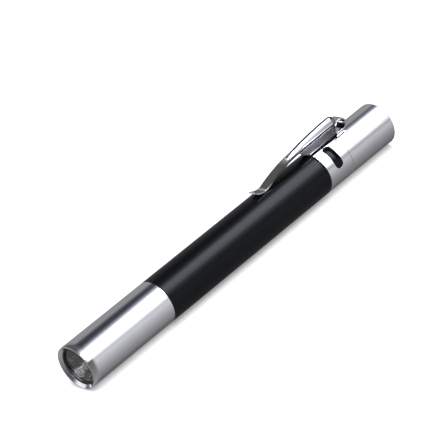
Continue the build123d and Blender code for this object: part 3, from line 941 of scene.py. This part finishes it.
# a pale light table: partly lit from above, partly glowing, and clear when seen from underneath
m = bpy.data.materials.new("pale_floor")
m.use_nodes = True
t = m.node_tree
t.nodes.clear()
out = t.nodes.new("ShaderNodeOutputMaterial")
dif = t.nodes.new("ShaderNodeBsdfDiffuse")
dif.inputs[0].default_value = (0.8, 0.8, 0.8, 1)
emi = t.nodes.new("ShaderNodeEmission")
emi.inputs[0].default_value = (1, 1, 1, 1)
emi.inputs[1].default_value = 0.33
add = t.nodes.new("ShaderNodeAddShader")
t.links.new(dif.outputs[0], add.inputs[0])
t.links.new(emi.outputs[0], add.inputs[1])
clear = t.nodes.new("ShaderNodeBsdfTransparent")
geo = t.nodes.new("ShaderNodeNewGeometry")
mixs = t.nodes.new("ShaderNodeMixShader")
t.links.new(geo.outputs["Backfacing"], mixs.inputs[0])
t.links.new(add.outputs[0], mixs.inputs[1])
t.links.new(clear.outputs[0], mixs.inputs[2])
t.links.new(mixs.outputs[0], out.inputs[0])
me = bpy.data.meshes.new("floor")
n, rad = 64, 2.4
me.from_pydata([(rad * math.cos(2 * math.pi * i / n), rad * math.sin(2 * math.pi * i / n), -2e-5) for i in range(n)], [], [list(range(n))])
floor = bpy.data.objects.new("floor", me)
scene.collection.objects.link(floor)
me.materials.append(m)
floor.visible_glossy = False
floor.visible_transmission = False

# a pale dome that only the camera sees
me = bpy.data.meshes.new("backdrop")
verts, faces = [], []
rows, cols = 16, 48
for i in range(rows + 1):
    e = -math.pi / 2 + math.pi * i / rows
    for k in range(cols):
        a = 2 * math.pi * k / cols
        verts.append((2.6 * math.cos(e) * math.cos(a), 2.6 * math.cos(e) * math.sin(a), 2.6 * math.sin(e)))
for i in range(rows):
    for k in range(cols):
        faces.append([i * cols + k, i * cols + (k + 1) % cols, (i + 1) * cols + (k + 1) % cols, (i + 1) * cols + k])
me.from_pydata(verts, [], faces)
dome = bpy.data.objects.new("backdrop", me)
scene.collection.objects.link(dome)
me.materials.append(emission("backdrop_pale", (1, 1, 1), 1.0))
dome.visible_diffuse = dome.visible_glossy = dome.visible_transmission = dome.visible_shadow = dome.visible_volume_scatter = False

# soft overhead light for the floor; it isn't seen in reflections
light = bpy.data.lights.new("overhead", "AREA")
light.shape, light.size, light.size_y = "RECTANGLE", 1.6, 1.2
light.energy = 24.0
lo = bpy.data.objects.new("overhead", light)
scene.collection.objects.link(lo)
lo.location = (0.0, -0.25, 0.9)
lo.rotation_euler = (Vector((0, 0, 0)) - Vector(lo.location)).to_track_quat("-Z", "Y").to_euler()
lo.visible_glossy = False

# the studio that the polished parts mirror: one long soft box over the camera's side of the body, a dark flag above it, grey walls.
# Directions are measured round the body axis from the softbox's middle side, so it is one long gradient along the pen.
world = bpy.data.worlds.new("studio")
scene.world = world
world.use_nodes = True
t = world.node_tree
t.nodes.clear()


def wn(kind, **kw):
    n_ = t.nodes.new(kind)
    for k_, v_ in kw.items():
        setattr(n_, k_, v_)
    return n_


def wmath(op, a, b=None, c=None):
    n_ = wn("ShaderNodeMath", operation=op)
    for i_, v_ in enumerate((a, b, c)):
        if v_ is None:
            continue
        if isinstance(v_, bpy.types.NodeSocket):
            t.links.new(v_, n_.inputs[i_])
        else:
            n_.inputs[i_].default_value = v_
    return n_.outputs[0]


def wrange(v, a, b, c, d, smooth=True):
    n_ = wn("ShaderNodeMapRange")
    n_.interpolation_type = "SMOOTHSTEP" if smooth else "LINEAR"
    for key, v_ in (("Value", v), ("From Min", a), ("From Max", b), ("To Min", c), ("To Max", d)):
        if isinstance(v_, bpy.types.NodeSocket):
            t.links.new(v_, n_.inputs[key])
        else:
            n_.inputs[key].default_value = v_
    return n_.outputs["Result"]


tc = wn("ShaderNodeTexCoord")
sep = wn("ShaderNodeSeparateXYZ")
t.links.new(tc.outputs["Generated"], sep.inputs[0])
dx, dy, dz = sep.outputs
az = wmath("MULTIPLY", wmath("ARCTAN2", dy, dz), 180 / math.pi)
az = wmath("ADD", az, 56.0)
az = wmath("WRAP", az, 180.0, -180.0)
# the softbox's far edge moves round as the body is followed towards the tail
edge_curve = wn("ShaderNodeValToRGB")
cr = edge_curve.color_ramp
for at, deg in ((0.470, 39.0), (0.500, 47.5), (0.546, 54.0), (0.579, 62.5), (0.592, 65.3)):
    el = cr.elements[0] if at == 0.470 else cr.elements[-1] if at == 0.592 else cr.elements.new(at)
    el.position = at
    el.color = (deg / 100, deg / 100, deg / 100, 1)
t.links.new(dx, edge_curve.inputs[0])
edge = wmath("MULTIPLY", edge_curve.outputs[0], 100.0)
beyond = wmath("SUBTRACT", az, edge)


def ramp_of(value, lo, hi, stops):
    node = wn("ShaderNodeValToRGB")
    c = node.color_ramp
    c.interpolation = "LINEAR"
    while len(c.elements) < len(stops):
        c.elements.new(0.5)
    for el_, (deg_, col_) in zip(c.elements, stops):
        el_.position = (deg_ - lo) / (hi - lo)
        el_.color = (*col_, 1) if isinstance(col_, tuple) else (col_, col_, col_, 1)
    t.links.new(wrange(value, lo, hi, 0.0, 1.0, False), node.inputs[0])
    return node.outputs[0]


def toned(pairs):
    out_ = []
    for deg_, v_ in pairs:
        if abs(deg_) > 140:
            tone = (1.0, 1.0, 1.0)
        elif -11.5 < deg_ < 88:
            tone = (0.93, 1.0, 1.28)
        else:
            tone = (0.995, 1.0, 1.06)
        out_.append((deg_, tuple(v_ * k_ for k_ in tone)))
    return out_


# brightness of the walls round the body, at the front and at the tail
WALLS_FRONT = [(-180, .36), (-168, .22), (-156, .16), (-144, .128), (-132, .122), (-120, .172), (-108, .228), (-96, .258), (-84, .308), (-72, .37), (-60, .44), (-48, .515), (-40, .575), (-32, .65), (-24, .605),
               (-18, .645), (-13, .9), (-11, .055), (72, .05), (80, .05), (86, .065), (90, .10), (96, .18), (102, .265), (108, .30), (120, .30), (132, .28), (144, .30), (156, .36), (168, .46), (180, .36)]
WALLS_TAIL = [(-180, .33), (-168, .22), (-156, .165), (-144, .13), (-132, .135), (-120, .182), (-108, .208), (-96, .238), (-84, .275), (-72, .332), (-60, .409), (-48, .50), (-40, .535), (-32, .54), (-24, .405),
              (-18, .58), (-13, .93), (-11, .055), (72, .05), (80, .055), (86, .075), (90, .11), (96, .21), (102, .28), (108, .312), (120, .303), (132, .30), (144, .27), (156, .285), (168, .34), (180, .33)]
front = ramp_of(az, -180, 180, toned(WALLS_FRONT))
rear = ramp_of(az, -180, 180, toned(WALLS_TAIL))
walls = wn("ShaderNodeMix", data_type="RGBA")
t.links.new(wrange(dx, 0.53, 0.58, 0.0, 1.0), walls.inputs[0])
t.links.new(front, walls.inputs[6])
t.links.new(rear, walls.inputs[7])
# the long softbox: brightest towards its far edge, with a soft fall-off outside it
box = ramp_of(az, -20, 100, [(-20, 0.0), (-13, 0.0), (-11, .112), (0, .235), (12, .66), (24, .85), (90, .85), (100, 0.0)])
fall = ramp_of(beyond, -60, 40, [(-60, 1.0), (-16, 1.0), (-8, .62), (-2, .235), (0, .141), (6, .085), (12, .0365), (18, .012), (24, .003), (30, 0.0)])
reach = wmath("MULTIPLY", wrange(dx, 0.614, 0.640, 1.0, 0.0), wrange(dx, 0.12, 0.36, 0.25, 1.0))
reach = wmath("MULTIPLY", reach, wmath("MULTIPLY", wrange(dx, 0.6105, 0.6135, 1.0, 0.22), wrange(dx, -0.42, -0.14, 0.0, 1.0)))
glow = wmath("MULTIPLY", wmath("MULTIPLY", wmath("MULTIPLY", box, fall), reach), 8.5)
window = wmath("MULTIPLY", wmath("MULTIPLY", wrange(dx, -0.80, -0.62, 0.0, 1.0), wrange(dx, -0.42, -0.22, 1.0, 0.0)), wmath("MULTIPLY", wrange(az, 30.0, 75.0, 0.0, 1.0), wrange(az, 125.0, 165.0, 1.0, 0.0)))
tinted = wn("ShaderNodeVectorMath", operation="SCALE")
tinted.inputs[0].default_value = (0.95, 1.0, 1.11)
t.links.new(wmath("ADD", glow, wmath("MULTIPLY", window, 0.85)), tinted.inputs["Scale"])
both = wn("ShaderNodeVectorMath", operation="ADD")
scaled = wn("ShaderNodeVectorMath", operation="SCALE")
t.links.new(wrange(dx, 0.608, 0.68, 1.0, 0.42), scaled.inputs["Scale"])
# in front of the pen: a darker end wall with one pale window in it
end_wall = ramp_of(az, -180, 180, [(-180, .30), (-109, .29), (-66, .21), (0, .10), (45, .11), (110, .095), (150, .2), (180, .30)])
ends = wn("ShaderNodeMix", data_type="RGBA")
t.links.new(wrange(dx, 0.455, 0.36, 0.0, 1.0), ends.inputs[0])
t.links.new(walls.outputs[2], ends.inputs[6])
t.links.new(end_wall, ends.inputs[7])
t.links.new(ends.outputs[2], scaled.inputs[0])
t.links.new(scaled.outputs[0], both.inputs[0])
t.links.new(tinted.outputs[0], both.inputs[1])
bg = wn("ShaderNodeBackground")
t.links.new(both.outputs[0], bg.inputs[0])
bg.inputs[1].default_value = 1.0
wo = wn("ShaderNodeOutputWorld")
t.links.new(bg.outputs[0], wo.inputs[0])
world.cycles_visibility.diffuse = False
world.cycles_visibility.camera = False

cam = bpy.data.cameras.new("camera")
cam.lens, cam.sensor_width, cam.sensor_fit = 192.11, 36.0, "AUTO"
cam.clip_start, cam.clip_end = 0.01, 20.0
cam.dof.use_dof = False
co = bpy.data.objects.new("camera", cam)
scene.collection.objects.link(co)
right, up, back = Vector((0.65693, -0.69485, -0.29262)), Vector((0.52526, 0.14336, 0.83879)), Vector((-0.54088, -0.70472, 0.45915))
rot = Matrix((right, up, back)).transposed()
co.matrix_world = Matrix.Translation((-0.35854, -0.46212, 0.31870)) @ rot.to_4x4()
scene.camera = co

bpy.context.view_layer.update()
